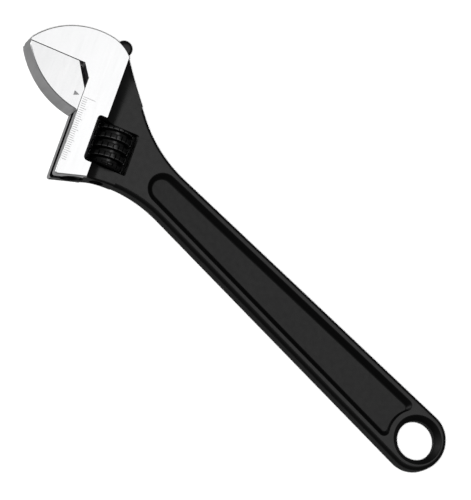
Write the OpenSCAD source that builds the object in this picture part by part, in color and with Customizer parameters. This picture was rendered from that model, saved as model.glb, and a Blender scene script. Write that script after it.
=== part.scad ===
// Adjustable wrench, 250 mm size, jaws closed.
// The part's frame has its origin at the centre of the hanging hole, half way through the thickness.
// +X runs along the handle towards the head, +Y towards the side the jaw opens to, and +Z out of one face.
// The head has a frame of its own: u points from the throat to the jaw tips, v the way the jaw opens.

/* [Handle] */
// Diameter of the hanging hole
hole_d = 17; // [14:0.5:19]
// Radius of the handle's round end
end_r = 13; // [12:0.5:16]
// Thickness of the handle and of the web behind the head
handle_t = 8.6; // [7:0.2:9]
// Half width of the handle where it meets the neck
neck_half_w = 9.1; // [8:0.1:11]
// Distance from the hanging hole to the corner where handle and neck meet
neck_x = 167; // [160:1:172]
// Radius that blends the handle into the neck
neck_r = 58; // [40:1:65]
// Radius of the rounded edge round the hanging hole
hole_edge_r = 1.2; // [0.4:0.1:2]

/* [Panel recesses] */
// Width of the raised rim beside the recess
rim_w = 2.6; // [2:0.1:3.5]
// Depth of each recess below the handle's face
panel_depth = 2.2; // [1:0.1:2.6]
// How far the recess walls lean inwards from top to floor
panel_slope = 2.2; // [1:0.1:3]
// Centre of the recess's round end, from the hanging hole
panel_end_x = 154; // [120:1:154]
// Width of the land left round the hanging hole's end
ring_w = 4.6; // [3:0.1:6]

/* [Head] */
// Angle between the jaws and the handle
head_angle = 22.5; // [15:0.5:23]
// Thickness of the head and the jaws
head_t = 14; // [12.5:0.5:14.5]
// Jaw depth, from the slide face to the tips
jaw_depth = 29; // [27:0.5:30]
// Radius of the fixed jaw's back
fixed_jaw_r = 35; // [34:0.5:36]
// Radius of the heel that ends the fixed jaw's back
heel_r = 17; // [16:0.5:18]
// Radius of the movable jaw's back
movable_jaw_r = 38.8; // [38.8:0.1:39]
// Radius of the forged boss at the heel
boss_r = 3.6; // [3:0.1:4]

/* [Adjusting gear] */
// Lead of the knurl's thread
pitch = 4.2; // [4:0.1:4.4]
// Turns of the knurl from closed to fully open
travel_turns = 7; // [5:1:7]
// Outer radius of the knurl
knurl_r = 8.75; // [8.5:0.05:8.9]
// Radius of the knurl below its thread
knurl_root_r = 5.65; // [5.4:0.05:5.8]
// Length of the knurl
knurl_l = 17.8; // [16:0.2:18]
// Radius of the pin through the knurl
pin_r = 2; // [1.8:0.05:2.2]
// Radius of the movable jaw's rail
rail_r = 4.9; // [4.7:0.05:5]
// Thickness of the neck between rail and jaw
neck_t = 4.2; // [3.6:0.1:4.4]

/* [Hidden] */
$fn = 96;

throat = [212.4, -16.35];
opening = pitch * travel_turns;
cut = 60;
sliver = 0.05;

running_gap = 0.1;
face_gap = 0.05;
flank_gap = 0.16;

neck_corner = [neck_x, neck_half_w];
handle_taper = (end_r - neck_half_w) / neck_x;

fixed_back_centre = [1, 19];
fixed_tip_angle = -36;
heel_start_angle = -97;
heel_end_angle = -136;
heel_centre = fixed_back_centre + (fixed_jaw_r - heel_r) * [cos(heel_start_angle), sin(heel_start_angle)];
boss_centre = [-10.9, -13.6];
boss_t = 11;
throat_land = 3.9;
throat_drop = 5.6;
slide_end_v = 50.7;
pad_back_u = -13.6;
pad_end_v = 46;
slope_run = 5.5;
slide_corner_r = 1;

window_u = [-29.7, -9.5];
window_v = [20, 38.8];
knurl_u = -19.8;
knurl_end_gap = 0.2;
knurl_v = window_v[1] - knurl_end_gap - knurl_l / 2;
thread_crest_w = 1.9;
thread_slope = 0.226;
thread_turns = 6;
thread_steps = 48;
thread_core_r = 5;
knurl_bore_r = pin_r + 0.08;

spring_wire_r = 0.35;
spring_r = 2.8;
spring_pocket_r = 3.45;
spring_pocket_l = 5;
spring_end_gap = 0.1;
spring_turns = 4;

pin_tip_v = 14;
pin_head_v = 40.3;
pin_end_v = 43.8;
pin_head_r = 3;
pin_slot_w = 1;
pin_slot_depth = 1.2;
pin_chamfer = 0.5;
pin_seat_gap = 0.05;

rail_u = -9;
rail_v = [1, 46];
bore_end_v = 0.2;
jaw_back_u = 0.15;
jaw_throat_u = 6.4;
jaw_throat_v = 10.7;
jaw_heel_v = 20.8;
neck_front_u = 7;
rack_depth_u = knurl_u + knurl_r + 0.2;
lead_angle = atan(pitch / (360 * PI / 180 * (rack_depth_u - knurl_u - 1)));

// ---- Outlines ----

function unit(p) = p / norm(p);
function polar(a) = [cos(a), sin(a)];
function arc(centre, r, from, to, steps) = [for (i = [0:steps]) centre + r * polar(from + (to - from) * i / steps)];
function in_head(p) = throat + [
    p[0] * cos(head_angle) - p[1] * sin(head_angle),
    p[0] * sin(head_angle) + p[1] * cos(head_angle)
];

// The points of a corner at p between a and b, rounded to radius r.
function corner(a, p, b, r, steps) =
    let (
        to_a = unit(a - p),
        to_b = unit(b - p),
        half = acos(to_a * to_b) / 2,
        centre = p + unit(to_a + to_b) * r / sin(half),
        from = p + to_a * r / tan(half) - centre,
        turn = sign(to_b[0] * to_a[1] - to_b[1] * to_a[0]) * (180 - 2 * half),
        start = atan2(from[1], from[0])
    )
    arc(centre, r, start, start + turn, steps);

function fixed_jaw_back() = concat(
    arc(heel_centre, heel_r, heel_end_angle, heel_start_angle, 12),
    arc(fixed_back_centre, fixed_jaw_r, heel_start_angle + 3, fixed_tip_angle, 24)
);

function movable_jaw_back() =
    let (
        drop = -17.7,
        centre = [jaw_back_u - sqrt(pow(movable_jaw_r, 2) - pow(jaw_heel_v - drop, 2)), drop],
        tip_v = 1.6,
        tip_angle = asin((tip_v - drop) / movable_jaw_r),
        heel_angle = asin((jaw_heel_v - drop) / movable_jaw_r)
    )
    arc(centre, movable_jaw_r, tip_angle, heel_angle, 24);

module body_outline() {
    back = fixed_jaw_back();
    heel = in_head(back[0]);
    pad_end = in_head([pad_back_u, pad_end_v]);
    slide_end = [0, slide_end_v];
    polygon(concat(
        [[0, -end_r]],
        corner([0, -end_r], [neck_corner[0], -neck_corner[1]], heel, neck_r, 12),
        [for (p = back) in_head(p)],
        [in_head([jaw_depth, -face_gap]), in_head([throat_land, -face_gap]), in_head([0, throat_drop])],
        [for (p = corner([0, 0], slide_end, [pad_back_u, pad_end_v], slide_corner_r, 4)) in_head(p)],
        corner(pad_end, neck_corner, [0, end_r], neck_r, 12),
        [[0, end_r]]
    ));
    circle(end_r);
}

// The loop round a panel recess, drawn in by inset from the recess's top edge.
function panel_loop(inset) =
    let (
        half_0 = end_r - rim_w - inset,
        end_half = half_0 - handle_taper * panel_end_x,
        ring_r = hole_d / 2 + ring_w + inset,
        open = asin((half_0 - handle_taper * ring_r * 0.7) / ring_r)
    )
    concat(
        arc([0, 0], ring_r, open, -open, 16),
        arc([panel_end_x, 0], end_half, -90, 90, 24)
    );

// ---- Shapes used more than once ----

module in_head_frame() {
    translate([throat[0], throat[1], 0]) rotate([0, 0, head_angle]) children();
}

// Turns a shape drawn along Z to lie along v, with its base at v.
module along_v(u, v) {
    in_head_frame() translate([u, v, 0]) rotate([-90, 0, 0]) children();
}

// A closed skin through rings of points, each ring with the same number of points.
// Seen from in front of the first ring, its points run clockwise.
module skin(rings) {
    count = len(rings[0]);
    last = len(rings) - 1;
    polyhedron(
        points = [for (ring = rings) each ring],
        faces = concat(
            [[for (j = [0:count - 1]) j]],
            [[for (j = [count - 1:-1:0]) last * count + j]],
            [for (i = [0:last - 1]) for (j = [0:count - 1])
                let (a = i * count + j, b = i * count + (j + 1) % count)
                each [[a, a + count, b], [b, a + count, b + count]]]
        )
    );
}

// Sweeps a section of [radius, height] points up a helix about Z that starts on +X.
module helical_sweep(section, lead, turns, steps) {
    skin([for (i = [0:turns * steps])
        let (a = 360 * i / steps)
        [for (p = section) [p[0] * cos(a), p[0] * sin(a), p[1] + lead * i / steps]]]);
}

module panel_recess() {
    top = handle_t / 2;
    over = 0.5;
    rise = panel_slope / panel_depth;
    skin([
        [for (p = panel_loop(panel_slope)) [p[0], p[1], top - panel_depth]],
        [for (p = panel_loop(-over * rise)) [p[0], p[1], top + over]]
    ]);
}

module round_hole_edge() {
    centre = [hole_d / 2 + hole_edge_r, handle_t / 2 - hole_edge_r];
    rotate_extrude() polygon(concat(
        [[0, centre[1]]],
        arc(centre, hole_edge_r, 180, 90, 5),
        [[centre[0], handle_t], [0, handle_t]]
    ));
}

// ---- Sub-parts ----

// The head at full thickness, with the slopes that lead down to the web on both faces.
// The slopes run on a little way inside the web.
module thick_head() {
    foot_z = handle_t / 2 - 1;
    foot_u = pad_back_u - slope_run * (head_t / 2 - foot_z) / (head_t / 2 - handle_t / 2);
    intersection() {
        linear_extrude(height = head_t, center = true) body_outline();
        in_head_frame() rotate([90, 0, 0]) linear_extrude(height = 4 * cut, center = true) polygon([
            [cut, -head_t / 2],
            [cut, head_t / 2],
            [pad_back_u, head_t / 2],
            [foot_u, foot_z],
            [foot_u, -foot_z],
            [pad_back_u, -head_t / 2]
        ]);
    }
}

module body() {
    color("#1c1c1e") difference() {
        union() {
            linear_extrude(height = handle_t, center = true) body_outline();
            thick_head();
            in_head_frame() translate([boss_centre[0], boss_centre[1], -boss_t / 2]) cylinder(r = boss_r, h = boss_t);
        }
        translate([0, 0, -cut / 2]) cylinder(d = hole_d, h = cut);
        round_hole_edge();
        mirror([0, 0, 1]) round_hole_edge();
        panel_recess();
        mirror([0, 0, 1]) panel_recess();
        in_head_frame() translate([window_u[0], window_v[0], -cut / 2])
            cube([window_u[1] - window_u[0], window_v[1] - window_v[0], cut]);
        along_v(rail_u, bore_end_v) cylinder(r = rail_r + running_gap, h = cut);
        in_head_frame() translate([rail_u, bore_end_v, -neck_t / 2 - running_gap])
            cube([cut, cut, neck_t + 2 * running_gap]);
        along_v(knurl_u, pin_tip_v - pin_chamfer) cylinder(r = pin_r + pin_seat_gap, h = cut);
        along_v(knurl_u, pin_head_v - running_gap) cylinder(r = pin_head_r + pin_seat_gap, h = cut);
    }
}

module rack_groove(v) {
    depth = rail_r + rack_depth_u - rail_u + 1;
    half_bottom = thread_crest_w / 2 + flank_gap;
    half_top = half_bottom + thread_slope * depth;
    in_head_frame() translate([rack_depth_u, v, 0]) rotate([lead_angle, 0, 0])
        linear_extrude(height = 4 * rail_r, center = true)
            polygon([[0, half_bottom], [-depth, half_top], [-depth, -half_top], [0, -half_bottom]]);
}

module movable_jaw() {
    first = ceil((rail_v[0] - knurl_v) / pitch);
    last = floor((rail_v[1] - knurl_v) / pitch);
    color("#d9dadc") difference() {
        union() {
            in_head_frame() linear_extrude(height = head_t, center = true) polygon(concat(
                [[jaw_throat_u, face_gap], [jaw_depth, face_gap]],
                movable_jaw_back(),
                [[jaw_back_u, jaw_throat_v]]
            ));
            in_head_frame() translate([rail_u, rail_v[0], -neck_t / 2])
                cube([neck_front_u - rail_u, jaw_throat_v - rail_v[0], neck_t]);
            in_head_frame() translate([rail_u, rail_v[0], -neck_t / 2])
                cube([2 - rail_u, jaw_heel_v - 1 - rail_v[0], neck_t]);
            along_v(rail_u, rail_v[0]) cylinder(r = rail_r, h = rail_v[1] - rail_v[0]);
        }
        for (k = [first - 1:last]) rack_groove(knurl_v + pitch / 4 + k * pitch);
    }
}

module knurl() {
    half_crest = thread_crest_w / 2;
    half_root = half_crest + thread_slope * (knurl_r - thread_core_r);
    color("#26262a") along_v(knurl_u, knurl_v - knurl_l / 2) difference() {
        intersection() {
            union() {
                cylinder(r = knurl_root_r, h = knurl_l);
                translate([0, 0, knurl_l / 2 - pitch * thread_turns / 2]) rotate([0, 0, -90]) helical_sweep(
                    [[thread_core_r, half_root], [knurl_r, half_crest], [knurl_r, -half_crest], [thread_core_r, -half_root]],
                    pitch, thread_turns, thread_steps
                );
            }
            cylinder(r = knurl_r + 1, h = knurl_l);
        }
        translate([0, 0, -sliver]) cylinder(r = knurl_bore_r, h = knurl_l + 2 * sliver);
        translate([0, 0, -sliver]) cylinder(r = spring_pocket_r, h = spring_pocket_l + sliver);
    }
}

module knurl_pin() {
    color("#8c8c90") difference() {
        union() {
            along_v(knurl_u, pin_tip_v) cylinder(r1 = pin_r - pin_chamfer, r2 = pin_r, h = pin_chamfer);
            along_v(knurl_u, pin_tip_v + pin_chamfer) cylinder(r = pin_r, h = pin_head_v - pin_tip_v - pin_chamfer);
            along_v(knurl_u, pin_head_v) cylinder(r = pin_head_r, h = pin_end_v - pin_head_v);
        }
        in_head_frame() translate([knurl_u - cut / 2, pin_end_v - pin_slot_depth, -pin_slot_w / 2])
            cube([cut, cut, pin_slot_w]);
    }
}

module knurl_spring() {
    low = window_v[0] + face_gap + spring_wire_r;
    high = knurl_v - knurl_l / 2 + spring_pocket_l - spring_end_gap - spring_wire_r;
    section = [for (i = [0:7]) [spring_r, 0] + spring_wire_r * polar(-45 * i)];
    color("#a8a8ac") along_v(knurl_u, low) helical_sweep(section, (high - low) / spring_turns, spring_turns, 24);
}

body();
movable_jaw();
knurl();
knurl_pin();
knurl_spring();
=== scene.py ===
"""Adjustable wrench: the detailed visual model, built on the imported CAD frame.

Shapes are worked out in millimetres and turned into metres when each piece is finished. The head has a
frame of its own: u points from the throat to the jaw tips, and v the way the movable jaw opens.
"""
import math

import bmesh
import bpy
import numpy as np
from mathutils import Matrix, Vector


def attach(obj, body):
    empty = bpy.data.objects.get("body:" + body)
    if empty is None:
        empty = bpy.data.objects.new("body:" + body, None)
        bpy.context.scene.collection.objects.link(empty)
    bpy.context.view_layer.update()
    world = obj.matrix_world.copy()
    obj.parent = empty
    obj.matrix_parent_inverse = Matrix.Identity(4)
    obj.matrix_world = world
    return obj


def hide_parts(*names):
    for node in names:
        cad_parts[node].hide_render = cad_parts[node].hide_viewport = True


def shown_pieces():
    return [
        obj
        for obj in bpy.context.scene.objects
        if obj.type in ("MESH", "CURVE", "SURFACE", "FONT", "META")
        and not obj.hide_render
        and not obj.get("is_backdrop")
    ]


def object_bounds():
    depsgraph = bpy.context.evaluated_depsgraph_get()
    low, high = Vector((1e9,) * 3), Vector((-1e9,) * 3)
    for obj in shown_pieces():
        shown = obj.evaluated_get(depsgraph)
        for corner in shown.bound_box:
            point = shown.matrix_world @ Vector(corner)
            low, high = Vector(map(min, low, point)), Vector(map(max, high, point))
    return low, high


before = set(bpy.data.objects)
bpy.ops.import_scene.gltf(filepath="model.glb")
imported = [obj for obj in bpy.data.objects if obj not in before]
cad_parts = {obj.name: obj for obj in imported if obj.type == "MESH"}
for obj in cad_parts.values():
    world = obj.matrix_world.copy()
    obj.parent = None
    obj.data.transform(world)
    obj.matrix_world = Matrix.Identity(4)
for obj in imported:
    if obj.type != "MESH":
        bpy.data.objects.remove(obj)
cad_low, cad_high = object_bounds()
scene = bpy.context.scene

# ---- Sizes, in millimetres ----

# Handle and neck. TAPER is how much of its half width the handle loses along each millimetre.
HOLE_R = 8.5
END_R = 13.0
WEB_HALF = 4.3
WEB_DRAFT = 0.05
WEB_FILLET = 1.9
NECK_CORNER = (167.0, 9.2)
NECK_R = 58.0
TAPER = (END_R - NECK_CORNER[1]) / NECK_CORNER[0]
EDGE_FULLNESS = 0.65
RIM_W = 2.6
RING_W = 4.6
PANEL_DEPTH = 2.2
PANEL_END_X = 154.0

# Head. The slide is the part that the movable jaw runs along.
THROAT = (212.4, -16.35)
HEAD_ANGLE = math.radians(22.5)
HEAD = Matrix.Translation((THROAT[0], THROAT[1], 0)) @ Matrix.Rotation(HEAD_ANGLE, 4, "Z")
HEAD_HALF = 7.0
JAW_DEPTH = 29.0
JAW_DRAFT = 0.55
FACE_GAP = 0.05
BACK_CENTRE = (1.0, 19.0)
BACK_R = 35.0
HEEL_R = 17.0
HEEL_START, HEEL_END = -136, -97
SLIDE_END_V = 50.7
PAD_BACK = (-13.6, 46.0)
PAD_EDGE_U = -13.95
PAD_BEVEL = 0.42
# Height below which the slide's end wall and the rail's end are painted dark, as painted shade.
SHADE_TOP_Z = 1.3
BOSS = (-10.9, -13.6)
SCALE_V = 14.2
SCALE_LINES = 30
MARK_DEPTH = 0.09

# Knurl, pin, rail and movable jaw.
KNURL_U = -19.8
KNURL_V = 29.7
KNURL_R = 8.75
KNURL_ROOT_R = 6.9
KNURL_L = 17.8
KNURL_CUTS = 22
PITCH = 4.2
SEAT_R = 8.95
PIN_R = 2.0
RAIL_U = -9.0
RAIL_R = 4.9
RAIL_V = (1.0, 46.0)
RACK_BOTTOM_U = KNURL_U + KNURL_R + 0.2
MOVABLE_BACK_R = 38.8
MOVABLE_HEEL_V = 20.8
SLIDE_GAP = 0.15

# Where a cutting tool ends when it only has to clear the piece.
CLEAR_Z = 8
CLEAR_V = 60


# ---- Outlines ----

def polar(radius, degrees):
    return radius * math.cos(math.radians(degrees)), radius * math.sin(math.radians(degrees))


def arc(centre, radius, start, end, steps):
    """Points along an arc from one angle to another, in degrees."""
    angles = np.linspace(start, end, steps + 1)
    return [(centre[0] + polar(radius, a)[0], centre[1] + polar(radius, a)[1]) for a in angles]


def unit(vector):
    vector = np.asarray(vector, float)
    return vector / np.linalg.norm(vector)


def corner(before, point, after, radius, steps):
    """The points that round a corner between its two neighbours."""
    point = np.asarray(point, float)
    to_before = unit(np.subtract(before, point))
    to_after = unit(np.subtract(after, point))
    half = math.acos(float(to_before @ to_after)) / 2
    centre = point + unit(to_before + to_after) * radius / math.sin(half)
    first = point + to_before * radius / math.tan(half) - centre
    cross = to_after[0] * to_before[1] - to_after[1] * to_before[0]
    turn = math.copysign(180 - 2 * math.degrees(half), cross)
    start = math.degrees(math.atan2(first[1], first[0]))
    return arc(centre, radius, start, start + turn, steps)


def to_frame(u, v):
    point = HEAD @ Vector((u, v, 0))
    return point.x, point.y


def to_head(x, y):
    point = HEAD.inverted() @ Vector((x, y, 0))
    return point.x, point.y


def inset(loop, distance, shares=1.0):
    """The anticlockwise loop drawn in by a distance, or by a share of it at each point."""
    points = np.asarray(loop, float)
    ahead = np.roll(points, -1, 0) - points
    ahead /= np.linalg.norm(ahead, axis=1)[:, None]
    behind = np.roll(ahead, 1, 0)
    normal_a = np.stack([-behind[:, 1], behind[:, 0]], 1)
    normal_b = np.stack([-ahead[:, 1], ahead[:, 0]], 1)
    share = 1 + np.sum(normal_a * normal_b, 1)
    reach = distance * np.broadcast_to(shares, len(points))
    return points + reach[:, None] * (normal_a + normal_b) / share[:, None]


def heel_centre():
    dx, dy = polar(BACK_R - HEEL_R, HEEL_END)
    return BACK_CENTRE[0] + dx, BACK_CENTRE[1] + dy


def neck_outline():
    """The blends from handle to neck in the part's frame, the first one with the heel at its end."""
    heel = to_frame(*arc(heel_centre(), HEEL_R, HEEL_START, HEEL_START, 1)[0])
    low = corner((0, -END_R), (NECK_CORNER[0], -NECK_CORNER[1]), heel, NECK_R, 20)
    high = corner(to_frame(*PAD_BACK), NECK_CORNER, (0, END_R), NECK_R, 20)
    low = [(x, y - EDGE_FULLNESS) for x, y in low]
    high = [(x, y + EDGE_FULLNESS) for x, y in high]
    return [*low, heel], high


def edge_v(u, side):
    """Where the neck's edge crosses a line of constant u."""
    low, high = neck_outline()
    points = [(0, -END_R - EDGE_FULLNESS), *low] if side < 0 else [(0, END_R + EDGE_FULLNESS), *high[::-1]]
    us, vs = zip(*[to_head(*p) for p in points])
    return float(np.interp(u, us, vs))


# ---- Mesh tools ----

def new_object(name, mesh):
    obj = bpy.data.objects.new(name, mesh)
    scene.collection.objects.link(obj)
    return obj


def mesh_object(name, points, faces, materials, face_material=None, place=None):
    """A closed mesh with outward normals. face_material gives each face's place in the materials."""
    mesh = bpy.data.meshes.new(name)
    mesh.from_pydata([tuple(map(float, p)) for p in points], [], faces)
    for material in materials:
        mesh.materials.append(material)
    if face_material is not None:
        for polygon, index in zip(mesh.polygons, face_material):
            polygon.material_index = index
    if place is not None:
        mesh.transform(place)
    work = bmesh.new()
    work.from_mesh(mesh)
    bmesh.ops.recalc_face_normals(work, faces=work.faces)
    work.to_mesh(mesh)
    work.free()
    return new_object(name, mesh)


def loft(name, rings, materials, wall_material=None, place=None):
    """A closed skin through rings of 3-D points. wall_material(ring, point) picks a wall's material."""
    count = len(rings[0])
    last = len(rings) - 1
    points = [p for ring in rings for p in ring]
    faces = [list(range(count)), [last * count + j for j in range(count)]]
    indices = [0, 0]
    for i in range(last):
        for j in range(count):
            after = (j + 1) % count
            faces.append([i * count + j, i * count + after, (i + 1) * count + after, (i + 1) * count + j])
            indices.append(wall_material(i, j) if wall_material else 0)
    return mesh_object(name, points, faces, materials, indices, place)


def lathe(name, profile, steps, materials, place=None, phase=0.0):
    """Turns (radius, height) pairs round Z. The first and the last pair are closed with flat caps."""
    rings = []
    for radius, height in profile:
        angles = [math.tau * (k + phase) / steps for k in range(steps)]
        rings.append([(radius * math.cos(a), radius * math.sin(a), height) for a in angles])
    return loft(name, rings, materials, None, place)


def along_v(u, v):
    """Places a shape turned round Z so that it lies along v."""
    return HEAD @ Matrix.Translation((u, v, 0)) @ Matrix.Rotation(-math.pi / 2, 4, "X")


def box(name, low, high, materials, place=None):
    """A block tool between two corners."""
    rings = [
        [(low[0], low[1], z), (high[0], low[1], z), (high[0], high[1], z), (low[0], high[1], z)]
        for z in (low[2], high[2])
    ]
    return loft(name, rings, materials, None, place)


def combine(target, operation, *tools):
    """Adds, cuts or keeps what is shared with each tool in turn. The tools are used up."""
    for tool in tools:
        step = target.modifiers.new("step", "BOOLEAN")
        step.operation = operation
        step.solver = "EXACT"
        step.material_mode = "TRANSFER"
        step.object = tool
        graph = bpy.context.evaluated_depsgraph_get()
        mesh = bpy.data.meshes.new_from_object(target.evaluated_get(graph))
        target.modifiers.clear()
        target.data = mesh
        bpy.data.objects.remove(tool)
    return target


def finish_piece(obj, body, node, sharp_degrees=32):
    """Cleans a piece's mesh, turns it to metres, smooths its shading, and ties it to the CAD frame."""
    work = bmesh.new()
    work.from_mesh(obj.data)
    same_place = 0.0008
    bmesh.ops.remove_doubles(work, verts=work.verts, dist=same_place)
    bmesh.ops.dissolve_degenerate(work, dist=same_place, edges=work.edges)
    loose = [v for v in work.verts if not v.link_faces]
    bmesh.ops.delete(work, geom=loose, context="VERTS")
    work.to_mesh(obj.data)
    work.free()
    obj.data.transform(Matrix.Scale(0.001, 4))
    obj.data.polygons.foreach_set("use_smooth", [True] * len(obj.data.polygons))
    obj.data.set_sharp_from_angle(angle=math.radians(sharp_degrees))
    obj.data.update()
    normals = obj.modifiers.new("normals", "WEIGHTED_NORMAL")
    normals.keep_sharp = True
    normals.weight = 100
    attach(obj, body)
    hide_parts(node)
    return obj


# ---- Materials ----

# Most of a noise texture's values lie between these two.
NOISE_LOW = 0.3
NOISE_HIGH = 0.7


def shader(name, base, metallic, roughness, **sockets):
    material = bpy.data.materials.new(name)
    material.use_nodes = True
    principled = material.node_tree.nodes["Principled BSDF"]
    principled.inputs["Base Color"].default_value = (*base, 1)
    principled.inputs["Metallic"].default_value = metallic
    principled.inputs["Roughness"].default_value = roughness
    for socket, value in sockets.items():
        principled.inputs[socket.replace("_", " ")].default_value = value
    return material


def noise(material, scale, detail=3.0, stretch=None, turn=0.0):
    """A noise value in the object's own space. stretch scales each axis after a turn about Z."""
    tree = material.node_tree
    coordinates = tree.nodes.new("ShaderNodeTexCoord")
    source = coordinates.outputs["Object"]
    if stretch:
        mapping = tree.nodes.new("ShaderNodeMapping")
        mapping.vector_type = "TEXTURE"
        mapping.inputs["Rotation"].default_value = (0, 0, turn)
        mapping.inputs["Scale"].default_value = stretch
        tree.links.new(source, mapping.inputs["Vector"])
        source = mapping.outputs["Vector"]
    texture = tree.nodes.new("ShaderNodeTexNoise")
    texture.inputs["Scale"].default_value = scale
    texture.inputs["Detail"].default_value = detail
    tree.links.new(source, texture.inputs["Vector"])
    return texture.outputs["Fac"]


def remap(material, value, start, end, low, high):
    """A number that runs from low to high as the value goes from start to end."""
    tree = material.node_tree
    node = tree.nodes.new("ShaderNodeMapRange")
    node.inputs["From Min"].default_value = start
    node.inputs["From Max"].default_value = end
    node.inputs["To Min"].default_value = low
    node.inputs["To Max"].default_value = high
    tree.links.new(value, node.inputs["Value"])
    return node.outputs["Result"]


def tint(material, value, dark, light):
    """Varies the base colour between two colours."""
    tree = material.node_tree
    ramp = tree.nodes.new("ShaderNodeValToRGB")
    ramp.color_ramp.elements[0].position = NOISE_LOW
    ramp.color_ramp.elements[0].color = (*dark, 1)
    ramp.color_ramp.elements[1].position = NOISE_HIGH
    ramp.color_ramp.elements[1].color = (*light, 1)
    tree.links.new(value, ramp.inputs["Fac"])
    tree.links.new(ramp.outputs["Color"], tree.nodes["Principled BSDF"].inputs["Base Color"])


def bumps(material, *layers):
    """Stacks bump layers, each a value and the height in metres that it stands for."""
    tree = material.node_tree
    normal = None
    for value, height in layers:
        node = tree.nodes.new("ShaderNodeBump")
        node.inputs["Strength"].default_value = 1.0
        node.inputs["Distance"].default_value = height
        tree.links.new(value, node.inputs["Height"])
        if normal:
            tree.links.new(normal, node.inputs["Normal"])
        normal = node.outputs["Normal"]
    tree.links.new(normal, tree.nodes["Principled BSDF"].inputs["Normal"])


def black_coating(name, dark, light, rough_face, rough_side, gloss, grain):
    """Satin black coating on forged steel. Faces that lie flat are smoother than the flanks."""
    material = shader(name, dark, 0.0, 0.5, Specular_IOR_Level=gloss)
    tree = material.node_tree
    tint(material, noise(material, 90, 4), dark, light)
    coordinates = tree.nodes.new("ShaderNodeTexCoord")
    split = tree.nodes.new("ShaderNodeSeparateXYZ")
    tree.links.new(coordinates.outputs["Normal"], split.inputs["Vector"])
    flat = tree.nodes.new("ShaderNodeMath")
    flat.operation = "ABSOLUTE"
    tree.links.new(split.outputs["Z"], flat.inputs[0])
    face = remap(material, flat.outputs["Value"], 0.6, 0.97, rough_side, rough_face)
    patches = remap(material, noise(material, 420, 5), NOISE_LOW, NOISE_HIGH, -0.04, 0.04)
    total = tree.nodes.new("ShaderNodeMath")
    tree.links.new(face, total.inputs[0])
    tree.links.new(patches, total.inputs[1])
    tree.links.new(total.outputs["Value"], tree.nodes["Principled BSDF"].inputs["Roughness"])
    bumps(material, (noise(material, 160, 2), grain * 4), (noise(material, 2600, 4), grain))
    return material


def bare_steel(name, dark, light, rough_low, rough_high, stretch, turn, groove):
    """Ground steel with fine parallel marks along the stretched axis."""
    material = shader(name, light, 1.0, 0.3)
    marks = noise(material, 900, 5, stretch, turn)
    tint(material, noise(material, 60, 3), dark, light)
    roughness = remap(material, marks, NOISE_LOW, NOISE_HIGH, rough_low, rough_high)
    tree = material.node_tree
    tree.links.new(roughness, tree.nodes["Principled BSDF"].inputs["Roughness"])
    bumps(material, (marks, groove))
    return material


COAT_DARK = (0.0012, 0.0012, 0.0013)
COAT_LIGHT = (0.0022, 0.0022, 0.0024)
SCREW_DARK = (0.002, 0.002, 0.0022)
SCREW_LIGHT = (0.005, 0.005, 0.0055)
black = black_coating("black_forging", COAT_DARK, COAT_LIGHT, 0.27, 0.58, 0.41, 2.5e-6)
recessed = black_coating("black_recess", COAT_DARK, COAT_LIGHT, 0.30, 0.45, 0.32, 2.5e-6)
black_screw = black_coating("black_knurl", SCREW_DARK, SCREW_LIGHT, 0.24, 0.30, 0.60, 2e-6)

ALONG_U = (14.0, 1.0, 1.0)
ALONG_V = (1.0, 14.0, 1.0)
ALONG_Z = (1.0, 1.0, 14.0)
polished = bare_steel("polished_face", (0.91, 0.915, 0.92), (0.94, 0.94, 0.945),
                      0.24, 0.26, ALONG_V, HEAD_ANGLE, 0.15e-6)
jaw_face = bare_steel("polished_jaw_face", (0.87, 0.875, 0.88), (0.90, 0.90, 0.905),
                      0.25, 0.27, ALONG_V, HEAD_ANGLE, 0.15e-6)
ground = bare_steel("ground_side", (0.74, 0.745, 0.75), (0.90, 0.90, 0.905),
                    0.32, 0.46, ALONG_Z, 0, 3e-6)
machined = bare_steel("machined_dark", (0.030, 0.030, 0.032), (0.055, 0.055, 0.058),
                      0.38, 0.5, ALONG_U, HEAD_ANGLE, 4e-6)
# Lighter steel for one corner of the knurl's crest: partly wear, partly a painted highlight.
wear_and_highlight_steel = bare_steel("wear_and_painted_highlight_edge", (0.20, 0.20, 0.202), (0.30, 0.30, 0.303),
                  0.30, 0.42, ALONG_U, HEAD_ANGLE, 2e-6)
engraved = bare_steel("engraved_mark", (0.50, 0.50, 0.505), (0.58, 0.58, 0.585),
                      0.5, 0.6, ALONG_U, HEAD_ANGLE, 2e-6)
# Painted shade: dark steel with lighter spots, for the lower part of the slide's end wall and of the rail's
# end.
painted_shade_steel = bare_steel("painted_lower_shade", (0.004, 0.004, 0.004), (0.30, 0.30, 0.305),
                       0.38, 0.5, ALONG_Z, 0, 4e-6)
turned = bare_steel("turned_pin", (0.22, 0.22, 0.225), (0.32, 0.32, 0.325),
                    0.3, 0.42, ALONG_U, HEAD_ANGLE, 2e-6)
wire = bare_steel("spring_wire", (0.45, 0.45, 0.46), (0.58, 0.58, 0.59),
                  0.28, 0.38, ALONG_V, HEAD_ANGLE, 1e-6)


# ---- The body ----

def make_web():
    """The forged handle and neck, with a slight draft and rounded edges."""
    low, high = neck_outline()
    inner = [to_frame(-8, -8), to_frame(-8, 44)]
    end = [(x, y * (1 + EDGE_FULLNESS / END_R)) for x, y in arc((0, 0), END_R, 90, 270, 48)]
    loop = [*low, *inner, *high, *end]
    upper = []
    for a in np.linspace(0, 90, 8):
        x, y = polar(WEB_FILLET, a)
        upper.append((WEB_DRAFT + WEB_FILLET - x, WEB_HALF - WEB_FILLET + y))
    profile = [(d, -z) for d, z in upper[::-1]] + [(0.0, 0.0)] + upper
    rings = [[(x, y, z) for x, y in inset(loop, distance)] for distance, z in profile]
    return loft("body_visual", rings, [black])


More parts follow.
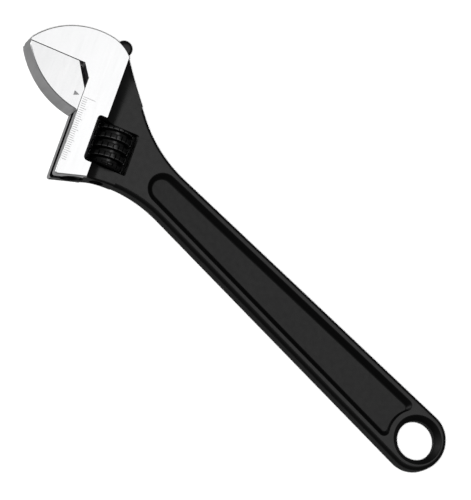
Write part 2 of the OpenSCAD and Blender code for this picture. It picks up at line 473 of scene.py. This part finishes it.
def head_loop():
    """The head's outline: rear edge, heel, back, tip, jaw face, throat and slide."""
    back = [*arc(heel_centre(), HEEL_R, HEEL_START, HEEL_END, 16), *arc(BACK_CENTRE, BACK_R, -94, -36, 30)]
    round_corner = corner((0, 0), (0, SLIDE_END_V), PAD_BACK, 1.0, 4)
    lower_end = to_head(*neck_outline()[1][0])
    return [
        (PAD_EDGE_U, edge_v(PAD_EDGE_U, -1)), *back,
        (JAW_DEPTH, -FACE_GAP), (3.9, -FACE_GAP), (0, 5.6), (0, 20.4), (0, 21.6),
        *round_corner, lower_end, (PAD_EDGE_U, edge_v(PAD_EDGE_U, 1)),
    ]


def bevelled_profile():
    """Inset and height of the head's crisp, slightly broken edges."""
    upper = [(0.0, HEAD_HALF - 0.36), (0.31, HEAD_HALF - 0.05), (PAD_BEVEL, HEAD_HALF)]
    return [(d, -z) for d, z in upper[::-1]] + upper


def drafted_slab(name, loop, profile, materials, wall_material, shares, draft):
    """A slab in the head's frame whose wall leans in toward the lower face by a draft at each point."""
    rings = []
    for distance, z in profile:
        lean = inset(loop, 0.5 - z / (2 * HEAD_HALF), draft) - np.asarray(loop)
        rings.append([(x, y, z) for x, y in inset(loop, distance, shares) + lean])
    return loft(name, rings, materials, wall_material, HEAD)


def make_head():
    """The thick head with its polished faces and ground sides. Its rear edge is coated black."""
    loop = head_loop()
    lower = [(d, z) for d, z in bevelled_profile() if z < 0] + [(0.0, SHADE_TOP_Z), (0.0, SHADE_TOP_Z + 0.05)]
    profile = lower + [(d, z) for d, z in bevelled_profile() if z > 0]
    shade_start = len(loop) - 4

    # The lowest walls toward the slide's end are painted dark up to a set height, as painted shade.
    def wall(ring, point):
        if point == len(loop) - 1:
            return 2
        return 3 if point >= shade_start and ring < len(lower) - 1 else 1

    def edge_share(u, v):
        """How much of the full bevel a point gets: less along the jaw face, least round the throat."""
        if v < -0.1:
            return 1.0
        if v < 1 and u > 3:
            return 0.4
        return 0.12 if v < 21 and u > -1 else 1.0

    shares = [edge_share(u, v) for u, v in loop]
    draft_u = 16
    draft = [JAW_DRAFT * min(1.0, (u - draft_u) / 10) if v < 1 and u > draft_u else 0.0 for u, v in loop]
    return drafted_slab("head", loop, profile, [polished, ground, black, painted_shade_steel], wall, shares, draft)


SLOPE_RUN = 13
SLOPE_FALL_W = 4.5


def slope_height(u, v):
    """Height of the slope above the web. It runs out further toward the heel and falls at the edge."""
    run = np.interp(v, (-14, 0, 12, 20, 40), (SLOPE_RUN, 9.5, 7.0, 5.8, 5.8))
    share = min(1.0, max(0.0, (PAD_EDGE_U - u) / run))
    inward = min(1.0, max(0.0, (v - edge_v(u, -1)) / SLOPE_FALL_W))
    fall = 0.6 + 0.4 * math.sqrt(1 - (1 - inward) ** 2)
    return (HEAD_HALF - PAD_BEVEL - WEB_HALF) * (1 - share) ** 2 * fall


def make_slope():
    """The forged slope between the polished face and the web, as sections across the neck."""
    edge = 1.0
    base = WEB_HALF - 0.02
    rings = []
    for u in (PAD_EDGE_U + 1.0, *np.linspace(PAD_EDGE_U, PAD_EDGE_U - SLOPE_RUN, 20)):
        low, high = edge_v(u, -1), edge_v(u, 1)
        top = base + slope_height(u, high - edge)
        upper = arc((high - edge, top - edge), edge, 0, 90, 4)
        across = [*np.linspace(high - edge, low + SLOPE_FALL_W, 12)[1:]]
        across += [*np.linspace(low + SLOPE_FALL_W, low + edge, 8)[1:-1]]
        upper += [(v, base + slope_height(u, v)) for v in across]
        top = base + slope_height(u, low + edge)
        upper += arc((low + edge, top - edge), edge, 90, 180, 4)
        rings.append([(u, v, z) for v, z in upper] + [(u, v, -z) for v, z in upper[::-1]])
    return loft("slope", rings, [black], None, HEAD)


def make_boss():
    """The forged knob at the heel, domed on both faces."""
    centre, dome_r = (1.89, 3.8), 1.7
    profile = [(1.2, 5.5), *arc(centre, dome_r, 75, 0, 5)]
    profile = [(r, -z) for r, z in profile] + profile[::-1]
    place = HEAD @ Matrix.Translation((*BOSS, 0))
    return lathe("boss", profile, 44, [black], place, 0.17)


def panel_loop(drawn_in):
    """The recess's edge, drawn in from its top edge: a round end, two straight sides and a hollow end.

    The hollow end follows the ring round the hole, with a steeper wall than the sides have.
    """
    half = END_R - RIM_W - drawn_in
    slope = math.hypot(1, TAPER)
    ring_r = HOLE_R + RING_W + 0.3 * drawn_in
    fillet = max(2.6 - 0.5 * drawn_in, 0.6)
    side = half / slope - fillet
    reach = math.sqrt((ring_r + fillet) ** 2 - side ** 2)
    centre = ((TAPER * side + reach) / slope, (side - TAPER * reach) / slope)
    toward_hole = math.degrees(math.atan2(-centre[1], -centre[0]))
    toward_side = math.degrees(math.atan2(1, TAPER))
    upper = arc(centre, fillet, toward_side, toward_hole + 360, 8)
    lower = [(x, -y) for x, y in upper[::-1]]
    open_angle = math.degrees(math.atan2(centre[1], centre[0]))
    across = arc((0, 0), ring_r, open_angle, -open_angle, 16)[1:-1]
    taper_degrees = 1.3
    end_r = half - TAPER * PANEL_END_X
    end = arc((PANEL_END_X, 0), end_r, taper_degrees - 90, 90 - taper_degrees, 28)
    return [*upper, *across, *lower, *end]


def panel_profile():
    """Inset and height down one recess wall: a rounded lip, a sloping wall and a round foot."""
    lip, foot = 0.8, 1.5
    tangent = math.tan(math.radians(22.5))
    rows = [(-lip * tangent - 0.5, WEB_HALF + 0.4)]
    for a in (86, 75, 60, 45):
        x, y = polar(lip, a)
        rows.append((-lip * tangent + x, WEB_HALF - lip + y))
    for a in (225, 236, 247, 258, 270):
        x, y = polar(foot, a)
        rows.append((PANEL_DEPTH + foot * tangent + x, WEB_HALF - PANEL_DEPTH + foot + y))
    return rows


def make_recess(side):
    rings = [[(x, y, side * z) for x, y in panel_loop(drawn_in)] for drawn_in, z in panel_profile()]
    return loft("recess", rings, [recessed])


def make_hole():
    """The hanging hole with a rounded rim on both faces."""
    lip, width, drop = 0.6, 2.2, 2.5
    bank = math.degrees(math.atan2(drop, width))
    shoulder = lip * math.tan(math.radians(bank / 2))
    profile = [(HOLE_R + width + shoulder + 0.5, WEB_HALF + 0.4)]
    for a in np.linspace(94, 90 + bank, 5):
        x, y = polar(lip, a)
        profile.append((HOLE_R + width + shoulder + x, WEB_HALF - lip + y))
    profile += [(HOLE_R + 0.25, WEB_HALF - drop + 0.29), (HOLE_R + 0.06, WEB_HALF - drop - 0.05)]
    profile += [(HOLE_R, WEB_HALF - drop - 0.6)]
    profile = profile + [(r, -z) for r, z in profile[::-1]]
    return lathe("hole", profile, 96, [black])


def rounded_rectangle(low, high, radii, steps=6):
    """An anticlockwise rectangle whose corners have their own radii, from the lower left corner on."""
    corners = [(low[0], low[1]), (high[0], low[1]), (high[0], high[1]), (low[0], high[1])]
    loop = []
    for k, radius in enumerate(radii):
        loop += corner(corners[k - 1], corners[k], corners[(k + 1) % 4], radius, steps)
    return loop


def make_window():
    """The opening for the knurl, flared at both faces. Its back half follows the knurl as a round seat."""
    inner_u, bore_u = -29.35, -9.5
    lip_v, flared_v = (19.75, 39.05), (18.7, 39.9)
    even, uneven = (0.9, 0.9, 0.9, 0.9), (0.9, 1.6, 1.9, 0.9)
    inner = rounded_rectangle((inner_u, 20.0), (bore_u, 38.8), even)
    lip = rounded_rectangle((-29.95, lip_v[0]), (bore_u, lip_v[1]), even)
    flared = rounded_rectangle((-30.0, flared_v[0]), (bore_u, flared_v[1]), uneven)
    stations = [(9.0, flared), (6.9, flared), (5.4, lip), (4.2, lip), (3.7, inner), (1.2, inner)]
    rings = [[(u, v, z) for u, v in loop] for z, loop in stations]
    for z in (0.9, 0.0, -1.1, -2.2, -3.3, -4.4):
        wall_u = KNURL_U - math.sqrt(SEAT_R ** 2 - z ** 2)
        rings.append([(max(u, wall_u + u - inner_u if u < KNURL_U else u), v, z) for u, v in inner])
    for z, (v_low, v_high) in ((-5.4, lip_v), (-6.9, flared_v), (-9.0, flared_v)):
        loop = rounded_rectangle((wall_u, v_low), (bore_u, v_high), uneven)
        rings.append([(u, v, z) for u, v in loop])
    return loft("window", rings, [black], None, HEAD)


def make_scale():
    """Engraved millimetre lines along the slide, cut on one face."""
    end_u, half_width = -0.55, 0.09
    lines = []
    for k in range(SCALE_LINES):
        v = SCALE_V + k
        length = 5.6 if k == 0 else 2.9 if k % 5 == 0 else 2.1
        low = (end_u - length, v - half_width, HEAD_HALF - MARK_DEPTH)
        lines.append(box("line", low, (end_u, v + half_width, CLEAR_Z), [engraved], HEAD))
    return join(lines)


def join(objects):
    """One object made of several that don't touch, which are used up."""
    work = bmesh.new()
    for obj in objects:
        work.from_mesh(obj.data)
    mesh = objects[0].data.copy()
    work.to_mesh(mesh)
    work.free()
    for obj in objects:
        bpy.data.objects.remove(obj)
    return new_object("joined", mesh)


def round_hole(name, radius, length, steps, u, v):
    """A tool for a round hole that starts at v and runs along it."""
    return lathe(name, [(radius, 0), (radius, length)], steps, [machined], along_v(u, v))


body = make_web()
head = combine(make_head(), "DIFFERENCE", make_scale())
combine(head, "UNION", make_boss())
combine(body, "UNION", make_slope(), head)
combine(body, "DIFFERENCE", make_recess(1), make_recess(-1), make_hole(), make_window())

SLOT_HALF = 2.2
BORE_V = 0.2
bore = round_hole("bore", RAIL_R + 0.1, CLEAR_V, 72, RAIL_U, BORE_V)
slot = box("slot", (RAIL_U, BORE_V, -SLOT_HALF), (20, CLEAR_V, SLOT_HALF), [machined], HEAD)
pin_bore = round_hole("pin_bore", PIN_R + 0.05, 40, 40, KNURL_U, 13.5)
pin_seat = round_hole("pin_seat", 3.05, 20, 48, KNURL_U, 40.2)
combine(body, "DIFFERENCE", bore, slot, pin_bore, pin_seat)
finish_piece(body, "frame", "body")


# ---- The movable jaw ----

def jaw_loop():
    """The jaw's outline: its face, its tip, its round back, and its side along the slide."""
    centre_v, tip_v = -17.7, 1.6
    run = math.sqrt(MOVABLE_BACK_R ** 2 - (MOVABLE_HEEL_V - centre_v) ** 2)
    tip = math.degrees(math.asin((tip_v - centre_v) / MOVABLE_BACK_R))
    heel = math.degrees(math.asin((MOVABLE_HEEL_V - centre_v) / MOVABLE_BACK_R))
    back = arc((SLIDE_GAP - run, centre_v), MOVABLE_BACK_R, tip, heel, 40)
    return [(6.4, FACE_GAP), (JAW_DEPTH, FACE_GAP), *back, (SLIDE_GAP, 10.7)]


def make_rail():
    """The round rail, flattened on the knurl's side. Its end is ground steel above, with painted shade
    below.
    """
    length = RAIL_V[1] - RAIL_V[0]
    profile = [(RAIL_R - 0.4, 0), (RAIL_R, 0.4), (RAIL_R, length - 0.5), (RAIL_R - 0.5, length)]
    place = along_v(RAIL_U, RAIL_V[0])
    rail = lathe("rail", profile, 72, [machined, ground, painted_shade_steel], place, 0.25)
    work = bmesh.new()
    work.from_mesh(rail.data)
    work.faces.ensure_lookup_table()
    end_face = work.faces[1]
    end_face.material_index = 1
    cut = bmesh.ops.bisect_plane(work, geom=[end_face, *end_face.edges, *end_face.verts],
                                 plane_co=(0, 0, SHADE_TOP_Z), plane_no=(0, 0, 1))
    # The end face below the cut is painted shade.
    for face in cut["geom"]:
        if isinstance(face, bmesh.types.BMFace) and face.calc_center_median().z < SHADE_TOP_Z:
            face.material_index = 2
    work.to_mesh(rail.data)
    work.free()
    flat_u = KNURL_U + KNURL_ROOT_R + 0.2
    flat = box("flat", (flat_u - 5, 0, -6), (flat_u, CLEAR_V, 6), [machined], HEAD)
    return combine(rail, "DIFFERENCE", flat)


def rack_groove(v):
    """A tool for one groove of the rack, tilted to the thread's lead."""
    depth = RAIL_R + RACK_BOTTOM_U - RAIL_U + 1
    half_crest, side_gap, flank = 0.95, 0.16, 0.226
    half_bottom = half_crest + side_gap
    half_top = half_bottom + flank * depth
    section = [(0, half_bottom), (-depth, half_top), (-depth, -half_top), (0, -half_bottom)]
    lead = math.atan(PITCH / (math.tau * (RACK_BOTTOM_U - KNURL_U - 1)))
    place = HEAD @ Matrix.Translation((RACK_BOTTOM_U, v, 0)) @ Matrix.Rotation(lead, 4, "X")
    rings = [[(x, y, z) for x, y in section] for z in (-10, 10)]
    return loft("groove", rings, [machined], None, place)


def make_arrow():
    """The engraved triangle that points at the scale."""
    point_u, base_u, half_base = 1.4, 3.9, 1.1
    loop = [(point_u, SCALE_V), (base_u, SCALE_V - half_base), (base_u, SCALE_V + half_base)]
    rings = [[(u, v, z) for u, v in loop] for z in (HEAD_HALF - MARK_DEPTH, CLEAR_Z)]
    return loft("arrow", rings, [engraved], None, HEAD)


def make_jaw():
    """The jaw's slab. Its back is drawn in toward the lower face, most of all at the tip."""
    outline = jaw_loop()
    shares = [0.15 if v > 10 and u < 0.5 else 0.4 if v < 1 else 1.0 for u, v in outline]
    draft = [JAW_DRAFT * min(1.0, u / 22) if v > 1 and u > 0.2 else 0.0 for u, v in outline]

    def wall(ring, point):
        return 1

    return drafted_slab("movable_jaw_visual", outline, bevelled_profile(), [jaw_face, ground],
                        wall, shares, draft)


NECK_HALF = 2.1
jaw = make_jaw()
neck_low = box("neck", (RAIL_U, RAIL_V[0], -NECK_HALF), (7, 10.7, NECK_HALF), [machined], HEAD)
neck_high = box("neck", (RAIL_U, 8, -NECK_HALF), (2, 19.8, NECK_HALF), [machined], HEAD)
combine(jaw, "UNION", neck_low, neck_high, make_rail())
first = math.ceil((RAIL_V[0] - KNURL_V) / PITCH) - 1
last = math.floor((RAIL_V[1] - KNURL_V) / PITCH)
grooves = [rack_groove(KNURL_V + PITCH / 4 + k * PITCH) for k in range(first, last + 1)]
combine(jaw, "DIFFERENCE", *grooves, make_arrow())
finish_piece(jaw, "jaw", "movable_jaw")


# ---- The knurl ----

# The row of the thread's faces painted lighter along one corner of the crest: partly wear, partly a painted
# highlight along the thread's edge.
WEAR_AND_HIGHLIGHT_ROW = 6


def thread_profile():
    """One lead of the thread, as place along the axis and radius. The next lead adds its last point."""
    crest, foot = 1.05, 1.5
    half = [(crest - 0.36, KNURL_R), (crest - 0.04, KNURL_R - 0.13), (crest + 0.06, KNURL_R - 0.42),
            (foot - 0.06, KNURL_ROOT_R + 0.25), (foot + 0.12, KNURL_ROOT_R)]
    return [(-PITCH / 2, KNURL_ROOT_R)] + [(-s, r) for s, r in half[::-1]] + half


def cut_columns():
    """Angles of one turn's columns, with 1 where a cross cut's floor is."""
    period = 360 / KNURL_CUTS
    half_cut = 1.9
    columns = []
    for k in range(KNURL_CUTS):
        start = k * period
        columns += [(start - half_cut, 0), (start - 0.3, 1), (start + 0.3, 1), (start + half_cut, 0)]
        columns += [(start + period * share, 0) for share in (0.25, 0.42, 0.58, 0.75)]
    return columns


def make_thread():
    """A continuous screw surface with cross cuts, closed at both ends beyond the knurl's length."""
    profile = thread_profile()
    columns = cut_columns()
    per_turn = len(columns)
    turns = 7
    cut_depth = 0.75
    points = []
    for k in range(turns * per_turn):
        degrees, cut = columns[k % per_turn]
        degrees += 360 * (k // per_turn)
        along = PITCH * (degrees - 360 * turns / 2) / 360
        for s, r in profile:
            radius = min(r, KNURL_R - cut_depth) if cut else r
            angle = math.radians(degrees - 360 * turns / 2 - 90)
            points.append((radius * math.cos(angle), radius * math.sin(angle), along + s))
    rows = len(profile)
    faces = []
    for k in range(turns * per_turn - 1):
        for i in range(rows):
            a, b = k * rows + i, (k + 1) * rows + i
            if i < rows - 1:
                faces.append([a, b, b + 1, a + 1])
            elif k + 1 + per_turn < turns * per_turn:
                faces.append([a, b, (k + 1 + per_turn) * rows, (k + per_turn) * rows])
    mesh = bpy.data.meshes.new("thread")
    mesh.from_pydata(points, [], faces)
    mesh.materials.append(black_screw)
    mesh.materials.append(wear_and_highlight_steel)
    # One row of faces gets the lighter steel: partly wear, partly a painted highlight along the crest.
    for polygon in mesh.polygons:
        if polygon.vertices[0] % rows == WEAR_AND_HIGHLIGHT_ROW:
            polygon.material_index = 1
    work = bmesh.new()
    work.from_mesh(mesh)
    for side in (-1, 1):
        everything = [*work.verts, *work.edges, *work.faces]
        bmesh.ops.bisect_plane(work, geom=everything, plane_co=(0, 0, side * (KNURL_L / 2 + 1.1)),
                               plane_no=(0, 0, side), clear_outer=True)
    open_edges = [e for e in work.edges if e.is_boundary]
    bmesh.ops.holes_fill(work, edges=open_edges, sides=0)
    bmesh.ops.recalc_face_normals(work, faces=work.faces)
    work.to_mesh(mesh)
    work.free()
    mesh.transform(along_v(KNURL_U, KNURL_V))
    return new_object("knurl_visual", mesh)


def make_blank():
    """The knurl's turned blank: broken outer corners at both ends."""
    half = KNURL_L / 2
    end_r, full_r, corner_l = KNURL_R - 0.7, KNURL_R + 0.05, 0.75
    profile = [(end_r, -half), (full_r, corner_l - half), (full_r, half - corner_l), (end_r, half)]
    return lathe("blank", profile, 90, [black_screw], along_v(KNURL_U, KNURL_V), 0.37)


knurl = make_thread()
combine(knurl, "INTERSECT", make_blank())
bore_r = PIN_R + 0.08
knurl_place = along_v(KNURL_U, KNURL_V)
knurl_bore = lathe("knurl_bore", [(bore_r, -20), (bore_r, 20)], 40, [machined], knurl_place)
pocket = lathe("pocket", [(3.45, -20), (3.45, 5 - KNURL_L / 2)], 48, [machined], knurl_place)
combine(knurl, "DIFFERENCE", knurl_bore, pocket)
finish_piece(knurl, "worm", "knurl", 28)


# ---- The pin and the spring ----

pin_profile = [(1.5, 14.0), (PIN_R, 14.5), (PIN_R, 40.3), (2.8, 40.3), (3.0, 40.5), (3.0, 43.4), (2.7, 43.8)]
pin = lathe("knurl_pin_visual", pin_profile, 48, [turned], along_v(KNURL_U, 0), 0.5)
driver_slot = box("driver_slot", (KNURL_U - 5, 42.6, -0.5), (KNURL_U + 5, 45, 0.5), [turned], HEAD)
combine(pin, "DIFFERENCE", driver_slot)
finish_piece(pin, "frame", "knurl_pin")


def make_spring():
    """A closed coil of round wire in the knurl's pocket."""
    radius, thick, turns = 2.8, 0.35, 4
    low, high = 20.4, KNURL_V - KNURL_L / 2 + 4.55
    steps = 40 * turns
    rings = []
    for k in range(steps + 1):
        angle = math.tau * k / 40
        height = low + (high - low) * k / steps
        ring = []
        for j in range(12):
            dr, dh = polar(thick, 30 * j)
            ring.append(((radius + dr) * math.cos(angle), (radius + dr) * math.sin(angle), height + dh))
        rings.append(ring)
    return loft("knurl_spring_visual", rings, [wire], None, along_v(KNURL_U, 0))


finish_piece(make_spring(), "frame", "knurl_spring")


# ---- Floor, light and camera, in metres ----

FLOOR_HALF = 40.0
FLOOR_GAP = 0.0002
floor_corners = [(x * FLOOR_HALF, y * FLOOR_HALF, cad_low.z - FLOOR_GAP)
                 for x, y in ((-1, -1), (1, -1), (1, 1), (-1, 1))]
floor_mesh = bpy.data.meshes.new("floor")
floor_mesh.from_pydata(floor_corners, [], [[0, 1, 2, 3]])
floor_material = shader("floor_white", (0.85, 0.85, 0.85), 0.0, 0.9, Specular_IOR_Level=0.0)
tint(floor_material, noise(floor_material, 6, 2), (0.84, 0.84, 0.84), (0.86, 0.86, 0.86))
floor_mesh.materials.append(floor_material)
floor = new_object("floor", floor_mesh)
floor.visible_glossy = False
floor.visible_diffuse = False
floor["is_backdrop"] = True

world = bpy.data.worlds.new("studio")
scene.world = world
world.use_nodes = True
nodes = world.node_tree.nodes
links = world.node_tree.links
direction = nodes.new("ShaderNodeTexCoord")
split = nodes.new("ShaderNodeSeparateXYZ")
height = nodes.new("ShaderNodeMapRange")
height.inputs["From Min"].default_value = -1.0
shade = nodes.new("ShaderNodeValToRGB")
# Brightness of the studio from straight below (0) to straight above (1).
stops = [(0.0, 0.34), (0.10, 0.27), (0.20, 0.10), (0.32, 0.05),
         (0.50, 0.06), (0.62, 0.10), (0.85, 0.10), (1.0, 0.35)]
for k, (position, level) in enumerate(stops):
    element = shade.color_ramp.elements[k] if k < 2 else shade.color_ramp.elements.new(position)
    element.position = position
    element.color = (level, level, level, 1)
links.new(direction.outputs["Generated"], split.inputs["Vector"])
links.new(split.outputs["Z"], height.inputs["Value"])
links.new(height.outputs["Result"], shade.inputs["Fac"])
links.new(shade.outputs["Color"], nodes["Background"].inputs["Color"])


def lit_group(name, objects):
    """A collection that names what a light falls on."""
    group = bpy.data.collections.new(name)
    for obj in objects:
        group.objects.link(obj)
    return group


body_and_jaw = lit_group("lit_body_and_jaw", [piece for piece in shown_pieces() if piece != knurl])
screw_only = lit_group("lit_knurl", [knurl])
ground_only = lit_group("lit_floor", [floor])


def softbox(name, toward, distance, size, radiance, target, lit):
    """A square soft light that faces the target and falls only on lit. radiance is how bright it looks."""
    light = bpy.data.lights.new(name, "AREA")
    light.shape = "SQUARE"
    light.size = size
    light.energy = radiance * math.pi * size * size
    obj = bpy.data.objects.new(name, light)
    scene.collection.objects.link(obj)
    toward = Vector(toward).normalized()
    obj.location = Vector(target) + toward * distance
    obj.rotation_mode = "QUATERNION"
    obj.rotation_quaternion = toward.to_track_quat("Z", "Y")
    obj.light_linking.receiver_collection = lit
    return obj


back = Vector((0.090, 0.333, 0.939)).normalized()
middle = (cad_low + cad_high) / 2
head_middle = Vector((0.215, -0.005, 0.007))
softbox("overhead", (-0.28, -0.333, 0.939), 1.0, 0.66, 0.93, head_middle, body_and_jaw)
softbox("knurl_top", (-0.20, -0.36, 0.939), 1.0, 0.34, 1.3, head_middle, screw_only)
softbox("head_end", (0.92, 0.28, 0.27), 1.0, 0.62, 2.4, middle, body_and_jaw)
softbox("floor_light", back, 3.0, 0.3, 412.0, middle, ground_only)

SENSOR = 36.0
PIXELS_PER_METRE = 2329.0
LONG_SIDE = 500
DISTANCE = 3.0
camera_data = bpy.data.cameras.new("camera")
camera_data.sensor_width = SENSOR
camera_data.lens = PIXELS_PER_METRE * DISTANCE * SENSOR / LONG_SIDE
camera_data.clip_start = 0.1
camera_data.clip_end = 100.0
camera = bpy.data.objects.new("camera", camera_data)
scene.collection.objects.link(camera)
up = Vector((0.699, -0.692, 0.178))
up = (up - back * up.dot(back)).normalized()
right = up.cross(back)
aim = Vector((0.12, 0, 0)) + right * 0.00795 - up * 0.00155
place = Matrix((right, up, back)).transposed().to_4x4()
place.translation = aim + back * DISTANCE
camera.matrix_world = place
scene.camera = camera

scene.view_settings.view_transform = "Standard"
scene.view_settings.look = "None"
